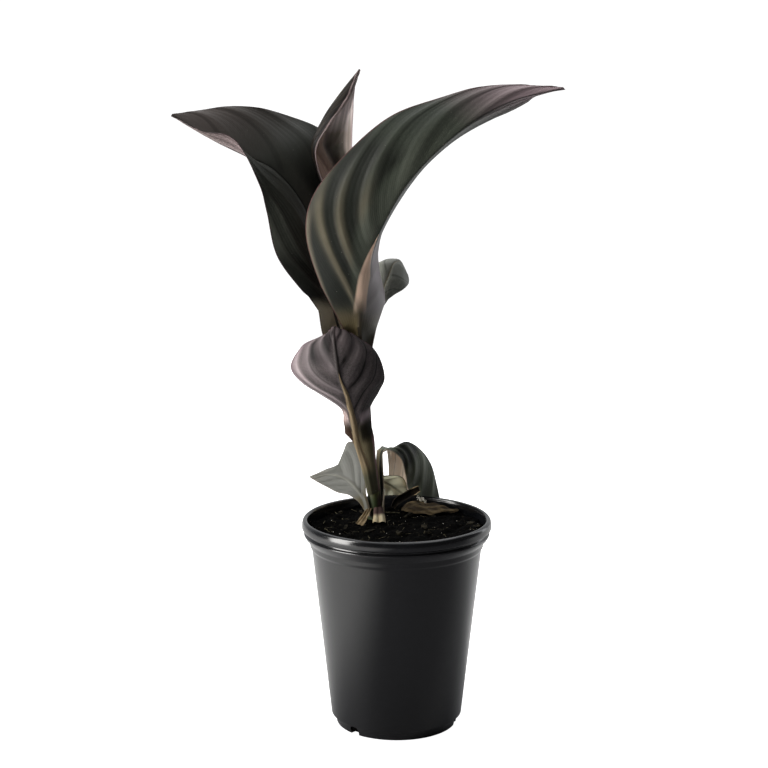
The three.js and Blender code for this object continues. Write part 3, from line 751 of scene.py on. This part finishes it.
def leaf_finish(name, pleats, blade_start, seed, upper, under, groove, margin, sheath, tip,
                patches=(), under_patches=(), ridge_power=4.0, rib_width=2.6, rib_start=-1.0,
                rib_end=1.2, roughness=0.42, left_ridge=0.35, right_ridge=0.35, high_ridge=0.5,
                outer_ridge=0.0, low_ridge=None, inner=0.1, tip_start=0.72, tip_share=0.7,
                crease=0.35, streak=None, streak_share=0.0, gloss=0.5):
    """Each face has colours for blade, ridges and midrib, and the sheath for its middle and sides.
    The colour of the ridges is partly the veins' own paler tone and partly painted sheen, and the
    groove colour is painted shade in the groove and the creases. Patches are (colour, share, from
    and to along the leaf, from and to across it);
    many of them paint light or shade onto the leaf."""
    material, tree, shader = new_finish(name, Specular_IOR_Level=gloss)
    out = add_node(tree, "Group", {
        "Pleats": pleats, "Ridge Power": ridge_power, "Blade Start": blade_start,
        "Rib Width": rib_width, "Rib Start": rib_start, "Rib End": rib_end, "Seed": seed,
    }, node_tree=veins).outputs

    def share(label, strength):
        return times(out[label], strength)

    def within(value, low, high, soft=0.03):
        return times(smooth_step(value, low - soft, low + soft),
                     smooth_step(value, high + soft, high - soft))

    # Colour of the ridges: the veins' own paler tone with painted sheen, painted stronger on the
    # half that the light falls on by the left and right strengths, and weaker towards the tip
    ridge_and_sheen_share = times(
        out["Ridge"],
        between(out["Cloud"], 0.7, 1.0, 0.3, 0.7), between(out["Right"], left_ridge, right_ridge),
        between(out["Along"], 1.0, high_ridge, 0.4, 0.7),
        between(out["Side"], 1.0 - outer_ridge, 1.0))
    tip_mask = times(smooth_step(out["Along"], tip_start, 0.99), tip_share)
    # Painted warm highlight on the ridges low on the left half, where the light falls
    low_left_highlight = times(smooth_step(out["Along"], 0.62, 0.46), smooth_step(out["Across"], -0.2, -0.4))
    sheath_colour = mix_colours(out["Side"], *sheath)
    sheath_colour = mix_colours(share("Fine", 0.2), sheath_colour, blend(0.5, sheath[0], upper[2]))

    def side_colour(base, raised, middle, edge_share, spots):
        speckled = between(out["Speckle"], 0.11, 0.24, 0.35, 0.65)
        colour = mix_colours(speckled, base, blend(0.4, base, raised))
        for mask, shade in (
                (share("Fine", 0.05), raised), (share("Inner", inner), raised), (tip_mask, tip),
                (share("Crease", crease), groove), (share("Groove", 0.75), groove),
                (out["Sheath"], sheath_colour)):
            colour = mix_colours(mask, colour, shade)
        for shade, strength, reach_along, (near, far) in spots:
            spot = times(within(out["Along"], *reach_along), within(out["Across"], near, far, 0.08))
            colour = mix_colours(times(spot, strength), colour, shade)
        if streak:
            colour = mix_colours(share("Streak", streak_share), colour, streak)
        if low_ridge:
            raised = mix_colours(low_left_highlight, raised, low_ridge)
        for mask, shade in (
                (ridge_and_sheen_share, raised), (share("Dust", 0.3), (160, 158, 150)), (out["Rib"], middle),
                (share("Margin", edge_share), margin)):
            colour = mix_colours(mask, colour, shade)
        return colour

    colour = mix_colours(out["Under"], side_colour(*upper, 0.9, patches),
                         side_colour(*under, 0.6, under_patches))
    rough = between(out["Cloud"], roughness - 0.08, roughness + 0.1)
    feed(tree, shader, colour, rough, out["Height"])
    return material


def grow_leaf(name, shape, columns, rows, slot, **finish):
    blade = leaf_blade(name + "_blade", shape, columns, rows)
    skin = leaf_finish(name + "_skin", shape.get("pleats", 8), shape["blade_start"], **finish)
    hand_over(blade, skin, name)


# Large right leaf: the biggest blade, dark green with a purple cast. Its thick pale midrib is
# channelled on top, and pale ridges, their own tone with painted light and sheen, run over the side
# veins of its left half.
grow_leaf("leaf_large_right", {
    "blade_start": 0.2, "pleats": 7, "pleat_depth": 0.85, "wave": 1.2, "sweep": 1, "keel": 1.6,
    "rib": [[-28, 15, 308], [-32, 10, 345], [-33, 4, 370], [-28, -3, 405], [-21, -8, 432],
            [-10, -11, 456], [8, -12, 487], [33, -8, 515], [65, 2, 541], [102, 16, 559],
            [146, 32, 569]],
    "left": [[-34, 18, 307], [-42, 14, 344], [-48, 6, 361], [-66.5, -3, 399.5], [-79, -7.5, 444],
             [-73, -5, 478], [-46, 1, 512.5], [-6.5, 8, 545.5], [39.5, 15, 562.5], [92, 25, 573],
             [145, 33, 570]],
    "right": [[-22, 18, 307], [-21.5, 19, 343.5], [-18, 25, 359.5], [-10.5, 42, 380.5],
              [-19, 51, 419], [-12, 54, 448], [22, 51, 498.5], [62.5, 46.5, 535],
              [102, 41, 549.5], [123, 36, 564], [147, 33, 568]],
    "bow_left": [-1.5, -2, -1, 2, 4, 5, 5, 4, 3, 2, 0],
    "bow_right": [-1.5, -2, 2, 4, 3, 1, 1, 1, 1, 1, 0],
}, 72, 240, "leaf_dark", upper=((38, 44, 36), (104, 108, 96), (225, 195, 172)),
    under=((110, 88, 94), (150, 126, 128), (150, 118, 112)), groove=(24, 28, 22),
    margin=(84, 52, 50), sheath=((60, 56, 38), (104, 96, 72)), tip=(182, 158, 164),
    rib_width=8.5, rib_start=0.24, rib_end=0.42, seed=1.0, inner=0.2, ridge_power=5.0,
    # Ridges painted bright on the lit left half, with a tan painted warm highlight low on the left
    left_ridge=0.95, right_ridge=0.3, high_ridge=0.1, low_ridge=(172, 162, 136), gloss=0.36,
    tip_start=0.76, tip_share=0.85, patches=(
        # Painted light: the right half's base lobe is pale where it catches the light at a glancing
        # angle
        ((190, 180, 184), 0.85, (0.26, 0.44, 0.1), (0.1, 1.1)),
        ((56, 54, 38), 0.8, (-0.1, 0.2), (0.1, 1.1)),
        # Painted shade over the middle of the left half
        ((15, 18, 12), 0.85, (0.24, 0.66), (-1.0, -0.3)),
        # Painted highlight along the left edge
        ((176, 164, 142), 0.6, (0.26, 0.46), (-1.1, -0.97)),
        # Painted warm light low on the left half, near the base
        ((96, 84, 52), 0.6, (0.1, 0.22), (-1.1, -0.1))))

# Large left leaf: dark on top and dull purple beneath. It grew from a pale channelled petiole, and
# folds over near its tip so that its underside shows.
grow_leaf("leaf_large_left", {
    "blade_start": 0.28, "pleats": 8, "pleat_depth": 0.6, "wave": 1, "sweep": 0.95, "keel": 1.6,
    "rib": [[-36, 21, 282], [-42, 20, 314], [-47, 21, 343], [-55, 22, 370], [-60, 22, 397],
            [-68, 20, 427], [-82, 14, 468], [-105, 8, 498], [-130, 0, 512], [-159, -8, 527],
            [-193, -14, 548]],
    "left": [[-33, 14, 285], [-49, 13, 320], [-65, 12, 351], [-71, 9, 381], [-84, 3, 395],
             [-105, -2, 426], [-113, -8, 465], [-119, -15, 490], [-137, -20, 526], [-165, -20, 535],
             [-193, -15, 547]],
    "right": [[-32, 28, 286], [-33, 30, 322], [-37, 34, 359], [-40, 40, 385], [-41, 50, 414],
              [-41, 58, 446], [-42, 60, 487], [-58, 56, 524], [-96, 44, 545], [-141, 20, 554],
              [-192, -13, 549]],
    "bow_left": [-1.5, -2, -2, -1, 3, 5, 4, 1, -1, -1, 0],
    "bow_right": [-1.5, -2, -3, -1, 2, 4, 4, 3, 2, 1, 0],
}, 72, 240, "leaf_dark", upper=((50, 53, 46), (80, 78, 70), (52, 52, 44)),
    under=((122, 106, 107), (140, 123, 123), (112, 102, 92)), groove=(20, 20, 16),
    margin=(56, 38, 42), sheath=((225, 216, 186), (225, 216, 190)), tip=(116, 104, 100),
    rib_width=2.4, rib_end=0.4, seed=2.0, high_ridge=0.3, gloss=0.38, patches=(
        # Painted shade over the right half
        ((14, 15, 11), 0.75, (0.4, 0.68, 0.06), (0.22, 1.1)),
        # Painted shade in a band across the blade where it passes behind the large right leaf
        ((8, 9, 4), 0.75, (0.35, 0.5), (-1.1, 1.1)),
        ((190, 184, 162), 0.85, (0.2, 0.31), (-1.1, 0.3))),
    under_patches=(((104, 94, 78), 0.95, (-0.3, 0.32, 0.07), (-1.2, 1.2)),))

# Central spear: the youngest leaf, thin and still half unrolled, so that its streaked inside, pale
# in parts with painted light and darker in the middle with painted shade, shows beside the dark
# outside
grow_leaf("leaf_spear", {
    "blade_start": 0.3, "pleat_depth": 0.5,
    "rib": [[-30, 31, 377], [-37, 30, 420], [-43, 28, 450], [-51, 29, 476], [-63, 30, 500],
            [-73, 25, 521], [-64, 26, 544], [-50.5, 26, 564], [-33, 26, 586]],
    "left": [[-34, 26, 377], [-46, 20, 421], [-52, 16, 451], [-59, 13, 477], [-68, 13, 498],
             [-70, 12, 519], [-57.5, 13, 541], [-43.5, 18, 561], [-34, 25, 585]],
    "right": [[-25, 26, 377], [-30, 22, 421], [-35, 19, 450.5], [-38, 17, 480], [-39.5, 16, 503],
              [-39.5, 16, 520], [-38.5, 18, 547.5], [-37, 22, 569], [-32, 26, 585]],
    "bow_left": [-1.5, -4, -7, -7, -5, -3, -3, -2, 0],
    "bow_right": [-1.5, -3, -4, -4, -4, -4, -3, -1, 0],
}, 48, 160, "leaf_purple", upper=((150, 138, 130), (190, 176, 168), (90, 80, 60)),
    under=((22, 18, 20), (34, 28, 30), (70, 56, 60)), groove=(90, 82, 62),
    margin=(176, 156, 156), sheath=((110, 98, 76), (90, 80, 62)), tip=(110, 92, 98),
    seed=3.0, rib_end=0.2, inner=0.0, tip_share=0.0, crease=0.0,
    streak=(60, 54, 38), streak_share=0.35, left_ridge=0.1, right_ridge=0.1, gloss=0.2, patches=(
        # Painted shade over the middle of the inside, where the outer flap stands before it
        ((34, 31, 20), 0.9, (0.3, 0.67, 0.08), (0.26, 0.8)),
        # Painted light on a band of the inside near the midrib
        ((255, 232, 214), 0.95, (0.45, 0.7), (-0.4, 0.2)),
        # Painted light on the inside towards the tip
        ((250, 236, 234), 0.5, (0.7, 0.97), (0.1, 1.1)),
        ((250, 236, 234), 0.9, (0.74, 0.97), (0.1, 1.1)),
        ((160, 148, 142), 0.5, (0.5, 0.72), (0.88, 1.1))))

# Small front leaf: a round blade with its underside to the front, pale purple bands, partly painted
# sheen, between creases darkened by painted shade, and flared ears over a sheath that wraps the
# stem
grow_leaf("leaf_front_small", {
    "blade_start": 0.3, "sweep": 0.95, "pleat_depth": 0.9, "wave": 0.6, "keel": 1.8,
    "rib": [[-23, 16, 207.5], [-28, 14.5, 233], [-35, 12, 254.5], [-39, 4, 279], [-44, -4, 302],
            [-50, -9, 319], [-53, -10, 338], [-55, -6, 353], [-55, 0, 363]],
    "left": [[-15.5, 19.5, 210], [-19, 19, 238.5], [-20.5, 16, 259.5], [-24.5, 12, 285],
             [-16, 10, 303], [-11, 8, 317], [-18, 6, 339], [-36, 4, 354], [-54, 1, 363]],
    "right": [[-26.3, 19.5, 209.5], [-27, 17.5, 226.5], [-32, 15.5, 243], [-39.5, 13.5, 257],
              [-49.5, 11, 269.5], [-48, 9.5, 286], [-65.5, 4, 300], [-85, 7, 312], [-94, 9, 326],
              [-85, 10, 343], [-72.5, 6, 351], [-61.5, 2, 357], [-56.5, 1, 363]],
    "bow_left": [-2, -2.5, -3, -3, -3, -4, -3, -2, 0],
    "bow_right": [-2, -2.5, -2, -2, -4, -5, -4, -2, 0],
}, 60, 170, "leaf_purple", upper=((44, 48, 42), (74, 74, 66), (120, 100, 84)),
    under=((26, 25, 22), (214, 199, 202), (132, 116, 92)), groove=(18, 16, 13),
    margin=(96, 72, 78), sheath=((112, 104, 80), (96, 86, 64)), tip=(110, 98, 100),
    rib_width=3.4, rib_start=0.12, rib_end=0.62, seed=4.0, gloss=0.12, roughness=0.55,
    # Ridges painted bright on the half towards the light and faint on the other; creases get strong
    # painted shade
    ridge_power=2.0, left_ridge=0.12, right_ridge=1.4, high_ridge=0.3, outer_ridge=0.6,
    inner=0.0, crease=0.95, under_patches=(
        ((168, 148, 144), 0.9, (0.36, 0.43), (0.3, 1.1)),
        # Painted shade under the shelf that the ears make, on both sides of the sheath
        ((50, 32, 24), 0.95, (0.2, 0.35), (0.25, 1.1)),
        ((16, 13, 9), 0.9, (0.255, 0.345), (-1.1, -0.25)),
        ((196, 178, 184), 0.85, (0.36, 0.385), (-1.1, -0.3)),
        ((150, 112, 118), 0.8, (-0.1, 0.26), (-1.1, -0.85)),
        ((66, 66, 52), 0.85, (-0.1, 0.1), (-0.8, 1.1)),
        # Painted shade over the upper middle of the blade
        ((14, 13, 13), 0.85, (0.7, 0.95), (0.12, 0.8)),
        # Painted light along the outer edge of the half towards the light, on the upper part of the
        # other half, and faintly over the half towards the light
        ((120, 104, 112), 0.5, (0.44, 0.8), (0.9, 1.1)),
        ((104, 96, 96), 0.5, (0.72, 0.95), (-0.7, -0.2)),
        ((150, 138, 140), 0.22, (0.58, 0.76, 0.06), (0.68, 1.1))))

# Small back leaf: a short grey-green blade behind the crown. Its sheath is tucked in among those
# of the large leaves.
grow_leaf("leaf_back_small", {
    "blade_start": 0.3, "pleats": 5, "pleat_depth": 0.3,
    "rib": [[-24.3, 26.2, 342], [-20.5, 37, 363], [-15.5, 47, 381], [-8, 56, 399.5], [-3, 63, 411],
            [4, 70, 411], [10, 74, 398]],
    "left": [[-27.5, 28.6, 341], [-24.5, 43, 367.5], [-21, 56, 387.5], [-21, 64, 403],
             [-17, 69, 411], [-1, 75, 413], [10, 75, 399]],
    "right": [[-23.2, 22, 342], [-18, 33, 362], [-11, 43, 377], [-3.5, 50, 383.5], [5.5, 54, 388.5],
              [10.5, 64, 393], [10, 74, 397]],
    "bow_left": [-1.5, -2, -1, 2, 2, 1, 0],
    "bow_right": [-1.5, -2, -1, 2, 2, 1, 0],
}, 40, 110, "leaf_grey", upper=((126, 128, 120), (150, 152, 141), (130, 126, 112)),
    under=((104, 98, 96), (124, 118, 114), (130, 122, 110)), groove=(70, 72, 64),
    margin=(120, 116, 106), sheath=((150, 146, 130), (150, 146, 130)), tip=(96, 96, 90),
    seed=5.0, crease=0.6)

# Low left leaf: an old blade at the foot of the stem, dulled to grey by dust, with one half
# standing up
grow_leaf("leaf_low_left", {
    "blade_start": 0.22, "pleats": 6, "pleat_depth": 0.4,
    "rib": [[-25.2, 17.2, 187], [-28.5, 18, 200.5], [-36, 21, 211], [-45, 26.5, 218],
            [-56, 31.5, 221], [-68.5, 36, 220], [-79.5, 39.5, 217.5]],
    "left": [[-22.5, 15.4, 187], [-25.2, 15.5, 198.5], [-28.4, 18.2, 212], [-28.3, 21.8, 231],
             [-33.5, 30.5, 248.5], [-45, 35.5, 250.5], [-51, 33, 233], [-64.5, 36, 225.5],
             [-79.5, 39.5, 218]],
    "right": [[-26.8, 19, 187], [-34, 18, 199], [-43.5, 21.5, 205], [-53.5, 26.5, 206],
              [-62.5, 31, 209.5], [-71, 35, 213], [-79.5, 39.5, 217]],
    "bow_left": [-1, -1, 0, -1, -1, -1, 0],
    "bow_right": [-1, -1, 0, 0, 0, 0, 0],
}, 44, 120, "leaf_grey", upper=((113, 115, 107), (134, 136, 126), (132, 132, 120)),
    under=((90, 91, 86), (107, 108, 101), (104, 104, 96)), groove=(92, 94, 86),
    margin=(112, 102, 90), sheath=((74, 66, 40), (84, 76, 48)), tip=(108, 104, 96),
    seed=6.0, roughness=0.55, crease=0.1)

# Low right leaf: a limp blade that arches over from a short upright petiole and hangs down, its tip
# behind the rim of the pot
grow_leaf("leaf_low_right", {
    "blade_start": 0.3, "pleat_depth": 0.7,
    "rib": [[-13, 22, 187], [-15, 25, 214], [-16, 30, 233], [-13, 36, 243], [-3.5, 48, 243.5],
            [9.5, 60, 246], [22.5, 76, 234.5], [32, 88, 218], [37, 97, 199], [44, 101, 165]],
    "left": [[-15, 28, 187], [-18, 30, 214], [-19, 35, 232], [-17, 42, 245], [-10, 62, 239],
             [-8, 86, 219], [-7, 106, 199], [1, 117, 184], [28, 118, 178], [45, 102, 165]],
    "right": [[-13, 17, 187], [-12, 21, 216], [-13, 25, 235], [-12, 33, 244], [-4, 42, 241],
              [4, 52, 231], [8, 66, 214], [11, 86, 193], [22, 91, 178], [43, 100, 165]],
    "bow_left": [-1, -1.5, -1.5, -1, 0, 1, 3, 4, 3, 0],
    "bow_right": [-1, -1.5, -1.5, 0, 1, 2, 5, 5, 3, 0],
}, 44, 150, "leaf_dark", upper=((98, 104, 88), (136, 142, 124), (36, 38, 28)),
    under=((206, 190, 172), (220, 204, 186), (140, 126, 104)), groove=(22, 24, 18),
    margin=(150, 140, 122), sheath=((120, 110, 86), (140, 126, 104)), tip=(66, 66, 58),
    seed=7.0, right_ridge=0.6, high_ridge=1.0, gloss=0.2,
    # Painted shade near the top of the arch, which faces away from the light
    patches=(((12, 13, 8), 0.9, (0.48, 0.64), (-1.1, 1.1)),))

# Low back leaf: a short thin blade behind the stem, faded to a pale green, that leans back low over
# the soil
grow_leaf("leaf_low_back", {
    "blade_start": 0.25, "pleats": 5, "pleat_depth": 0.4,
    "rib": [[-17, 30, 185], [-17, 50, 191], [-17, 70, 198], [-15, 84, 202], [-9, 89.5, 199],
            [0, 91, 193], [9, 92, 186]],
    "left": [[-21, 29, 185], [-22, 50, 192], [-22, 70, 199], [-18, 85, 206], [-6, 90, 207],
             [6, 91.5, 204], [11, 92, 188]],
    "right": [[-13, 29, 185], [-12, 50, 191], [-11, 69, 196.5], [-12, 83, 196], [-13, 88.5, 187],
              [-6, 89, 181], [8, 91.5, 184]],
    "bow_left": [-1.5, -1.5, -1, 0, 1, 1, 0],
    "bow_right": [-1.5, -1.5, -1, 0, 1, 1, 0],
}, 32, 80, "leaf_grey", upper=((214, 216, 190), (226, 226, 202), (150, 148, 124)),
    under=((160, 156, 136), (178, 172, 150), (150, 144, 122)), groove=(120, 120, 102),
    margin=(90, 88, 74), sheath=((160, 146, 114), (180, 164, 128)), tip=(170, 164, 138),
    seed=8.0, roughness=0.55)


# Dried stubs: the cut bases of two old leaves, papery and tan, curled into half tubes. They still
# sit where they grew, round the foot of the stem, and touch the soil.
dry, dry_in, dry_out = new_group(
    "dried_skin", {"Light": "Color", "Dark": "Color", "Along": "Vector"},
    {"Color": "Color", "Height": "Float", "Roughness": "Float"})
dry_lines = mottle(dry_in["Along"], 260.0, 5.0)
dry_cloud = mottle(object_place(dry), 90.0, 6.0)
dry_share = times(smooth_step(dry_lines, 0.35, 0.65), smooth_step(dry_cloud, 0.25, 0.7))
dry.links.new(mix_colours(dry_share, dry_in["Dark"], dry_in["Light"]), dry_out["Color"])
dry.links.new(maths("ADD", dry_lines, dry_cloud), dry_out["Height"])
dry.links.new(smooth_step(dry_cloud, -2.0, 0.6), dry_out["Roughness"])


def dried_finish(name, light, dark, stretch=(1, 1, 0.25), depth=0.0002, edge=None, top=None):
    """The stretch along each way says which way the fibres run"""
    material, tree, shader = new_finish(name, Specular_IOR_Level=0.3)
    skin = add_node(tree, "Group", {
        "Light": as_light(light), "Dark": as_light(dark),
        "Along": stretched(object_place(tree), stretch),
    }, node_tree=dry).outputs
    colour = skin["Color"]
    _, from_edge, from_base = split(kept(tree, "reach")["Vector"])
    if top:
        colour = mix_colours(smooth_step(from_base, 0.64, 0.34), colour, top)
    if edge:
        at_edge = times(smooth_step(from_edge, 1.0, 0.4), smooth_step(from_base, 0.68, 0.8))
        colour = mix_colours(at_edge, colour, edge)
    feed(tree, shader, colour, skin["Roughness"], skin["Height"], depth)
    return material


for side, rib, left, right, bow_left, bow_right, finish in (
        ("left", [[-24.8, 13.8, 195], [-29, 8.5, 188.5], [-33.5, 4.5, 182.6]],
         [[-22.5, 13.8, 195], [-26.5, 6.5, 188], [-30.5, 0.5, 181.6]],
         [[-27, 14, 194.5], [-32, 9.5, 188.5], [-37, 7, 182.6]],
         [-1.2, -1.6, -1.2], [-1.2, -2, -1.6],
         {"light": (168, 152, 122), "dark": (112, 96, 72)}),
        ("right", [[-17, 14.5, 195], [-16.5, 9, 189], [-16, 4, 184]],
         [[-20.5, 14, 195], [-21, 11, 188], [-21.5, 6.5, 183]],
         [[-13.5, 18, 195], [-11, 13, 188], [-10, 7, 183]],
         [-1, -2, -2.2], [-1, -2, -2.2],
         {"light": (206, 196, 168), "dark": (160, 146, 116), "top": (70, 54, 50)})):
    stub = leaf_blade(f"dried_sheath_{side}_stub", {
        "blade_start": 0.05, "pleats": 2, "pleat_depth": 0.25, "wave": 0.3, "waves": 2, "sweep": 0,
        "keel": 0.2, "groove": 0, "rib": rib, "left": left, "right": right,
        "bow_left": bow_left, "bow_right": bow_right}, 28, 36, 0.7)
    stub_skin = dried_finish(f"dried_{side}_skin", **finish)
    hand_over(stub, stub_skin, f"dried_sheath_{side}")


# Dead leaf: one old blade, brown and brittle, crumpled as it dried. It came off the plant and lies
# loose on the soil.
dead_leaf = leaf_blade("dead_leaf_blade", {
    "blade_start": 0.02, "pleats": 4, "pleat_depth": 1, "wave": 1.4, "waves": 3, "sweep": 0.6,
    "keel": 0.4, "wander": 2.4, "groove": 0.2,
    "rib": [[4, 50, 184], [14, 52, 187], [27, 52, 187], [41, 50, 185], [57, 50, 184]],
    "left": [[5, 53, 185], [12, 64, 188], [26, 66, 187.5], [42, 57, 185.5], [57, 51.5, 184]],
    "right": [[6, 47, 184], [15, 41, 183], [28, 38, 183], [42, 44, 183], [57, 48.5, 184]],
    "bow_left": [0, 1, -1, 1, 0],
    "bow_right": [0, 1.5, 1, 1, 0],
}, 44, 90, 0.45)
dead_skin = dried_finish("dead_leaf_skin", (118, 102, 74), (54, 44, 30), (0.4, 1, 1), 0.0006)
hand_over(dead_leaf, dead_skin, "dead_leaf")


# Dried curl: a narrow strip of an old sheath that rolled up as it dried, dark with a pale edge at
# its end. It lies at the back with one end on the soil and the other raised.
curl = leaf_blade("dried_curl_roll", {
    "blade_start": 0.02, "pleats": 3, "pleat_depth": 0.2, "sweep": 0, "keel": 0.1, "groove": 0,
    "rib": [[-4, 71, 180], [0, 71.5, 186.5], [8, 71.5, 191.5], [15, 71, 196], [20.5, 70.5, 199]],
    "left": [[-5, 70, 182], [-2, 69.5, 189], [6, 68.5, 195], [14, 68, 199.5], [20, 68, 202]],
    "right": [[-3, 69, 180], [2, 69, 184.5], [10, 68.5, 189.5], [16.5, 68, 193.5], [21.5, 68, 197]],
    "bow_left": [-1.5, -1.8, -1.8, -1.6, -1.2],
    "bow_right": [-1.5, -1.8, -1.8, -1.6, -1.2],
}, 28, 60, 0.6)
curl_skin = dried_finish("dried_curl_skin", (70, 60, 46), (22, 18, 14), (1, 1, 0.4), 0.0003,
                         edge=(170, 150, 116))
hand_over(curl, curl_skin, "dried_curl")
